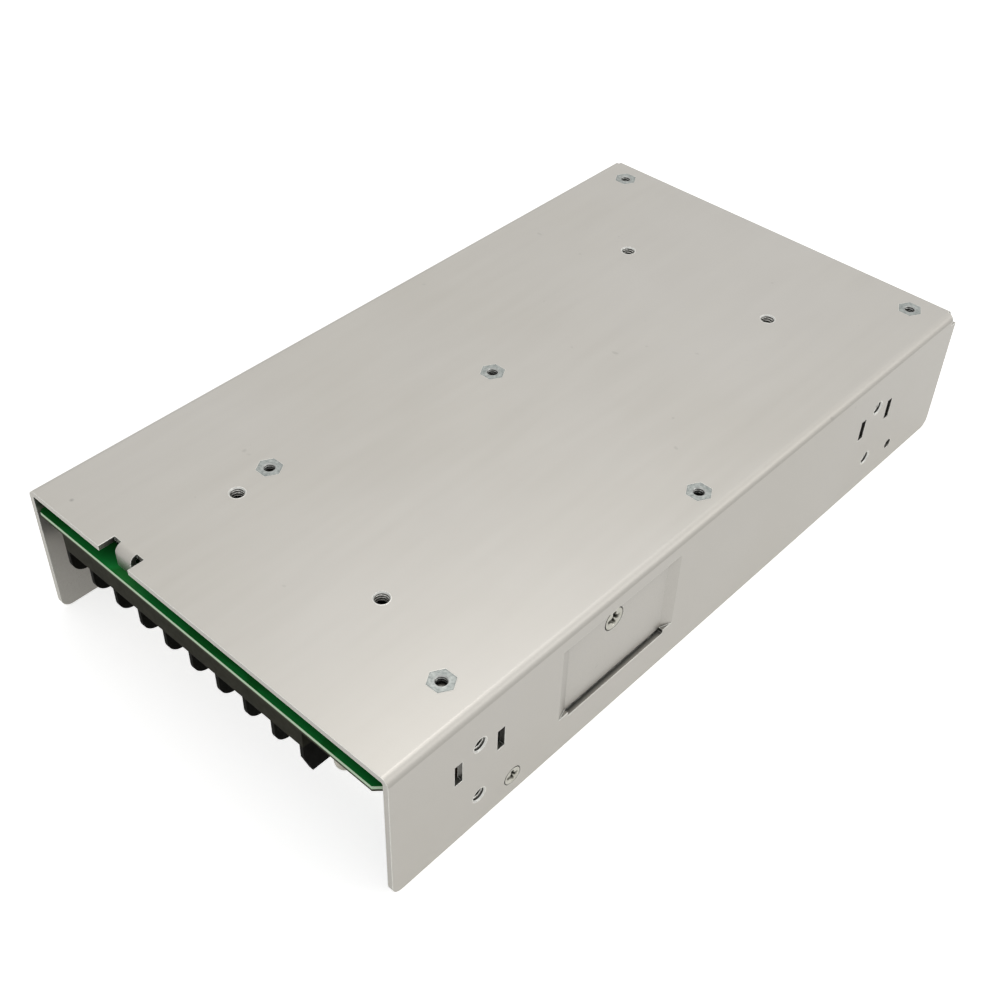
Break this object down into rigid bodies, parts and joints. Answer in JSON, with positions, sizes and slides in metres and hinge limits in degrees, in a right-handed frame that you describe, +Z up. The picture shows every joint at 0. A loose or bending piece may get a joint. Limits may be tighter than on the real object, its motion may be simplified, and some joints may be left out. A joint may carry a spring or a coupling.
{
  "type": "mesh case switching power supply",
  "caption": "Flat enclosed switching power supply with a folded sheet chassis, perforated cover, barrier terminal block and built-in fan, lying on its cover.",
  "frame": {"origin": "middle of the footprint, on the plane that the cover and the flange edges lie on", "axes": "+Z up out of the base plate, +Y from the terminal end to the fan end, X across the case"},
  "size_m": [0.124, 0.225, 0.041],
  "materials": {
    "zinc_sheet": "satin zinc-plated steel sheet, warm light grey",
    "cover_sheet": "satin zinc-plated perforated sheet",
    "film": "translucent insulating film",
    "standoff_steel": "bluish zinc",
    "screw_steel": "zinc-plated",
    "board": "green solder mask on glass fibre",
    "block_plastic": "black moulded, semi-matt",
    "tinned_brass": "tin-plated brass",
    "pot_body": "blue moulded",
    "pot_rotor": "white moulded",
    "lamp_lens": "clear moulded lens",
    "ceramic_tube": "glazed ceramic tube",
    "film_cap": "yellow moulded case",
    "ferrite": "dark ferrite",
    "copper_wire": "enamelled copper",
    "saddle_plastic": "black moulded",
    "disc_blue": "blue dipped disc",
    "disc_dark": "dark dipped disc",
    "can_sleeve": "dark shrink sleeve",
    "spreader_alu": "extruded bar",
    "pad_grey": "soft grey pad",
    "device_black": "black moulded package",
    "bobbin": "black coil former",
    "coil_tape": "yellow tape over the winding",
    "small_board": "green board",
    "header_white": "white moulded",
    "fan_black": "black moulded",
    "stator": "laminated steel with copper"
  },
  "bodies": {
    "case": {"chassis": "zinc_sheet", "mesh_cover": "cover_sheet", "insulation_sheet": "film", "board_standoffs": "standoff_steel", "board_screws": "screw_steel", "main_board": "board", "terminal_block": "block_plastic", "terminal_contacts": "tinned_brass", "terminal_clamps": "screw_steel", "terminal_screws": "screw_steel", "trim_pot_body": "pot_body", "status_lamp": "lamp_lens", "fuse_body": "ceramic_tube", "fuse_clips": "tinned_brass", "line_capacitors": "film_cap", "line_choke_cores": "ferrite", "line_choke_windings": "copper_wire", "choke_saddles": "saddle_plastic", "y_capacitors": "disc_blue", "inrush_thermistor": "disc_dark", "bridge_rectifier": "device_black", "bulk_capacitors": "can_sleeve", "switch_heat_spreader": "spreader_alu", "switch_insulator": "pad_grey", "switch_transistors": "device_black", "output_heat_spreader": "spreader_alu", "output_insulator": "pad_grey", "output_rectifiers": "device_black", "spreader_screws": "screw_steel", "transformer_core": "ferrite", "transformer_bobbin": "bobbin", "transformer_winding": "coil_tape", "output_choke_core": "ferrite", "output_choke_winding": "copper_wire", "output_capacitors": "can_sleeve", "control_board": "small_board", "control_chips": "device_black", "optocouplers": "device_black", "auxiliary_transformer": "coil_tape", "fan_header": "header_white", "fan_frame": "fan_black", "fan_stator": "stator", "fan_screws": "screw_steel", "cover_screws": "screw_steel"},
    "fan_rotor": {"fan_rotor": "fan_black"},
    "trim_pot_rotor": {"trim_pot_rotor": "pot_rotor"}
  },
  "joints": [
    {"name": "fan_spin", "type": "hinge", "parent": "case", "child": "fan_rotor", "pos_m": [0, 0.0675, 0.01], "axis": [0, 0, 1], "continuous": true},
    {"name": "trim_pot_turn", "type": "hinge", "parent": "case", "child": "trim_pot_rotor", "pos_m": [0.0525, -0.103, 0.028], "axis": [0, 0, 1], "range_deg": [-130, 130]}
  ]
}
